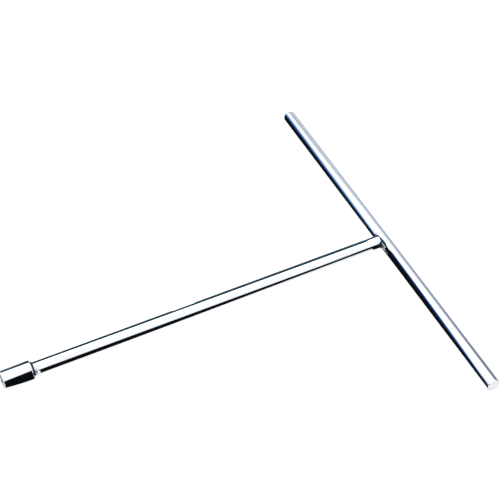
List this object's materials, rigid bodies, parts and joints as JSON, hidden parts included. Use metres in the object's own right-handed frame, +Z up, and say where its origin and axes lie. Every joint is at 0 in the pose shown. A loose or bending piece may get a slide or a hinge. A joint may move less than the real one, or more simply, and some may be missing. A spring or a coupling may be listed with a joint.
{
  "type": "t-handle socket wrench",
  "caption": "T-handle wrench: a round crossbar welded across a round shaft, with a hexagon socket for a 10 mm screw head at its far end.",
  "frame": {"origin": "centre of the socket's mouth, on the axis of the hexagon", "axes": "shaft along +X from the mouth to the crossbar, crossbar along Y, +Z up with the wrench lying flat"},
  "size_m": [0.328, 0.352, 0.015],
  "materials": {
    "rod_chrome": "bright chrome over drawn and polished steel rod",
    "socket_chrome": "bright chrome over a turned and polished socket, duller inside the recess",
    "weld_chrome": "chrome over a dressed weld, slightly rippled"
  },
  "bodies": {
    "root": {"crossbar": "rod_chrome", "shaft": "rod_chrome", "socket": "socket_chrome", "socket_weld_bead": "weld_chrome", "tee_weld_bead": "weld_chrome"}
  },
  "joints": []
}
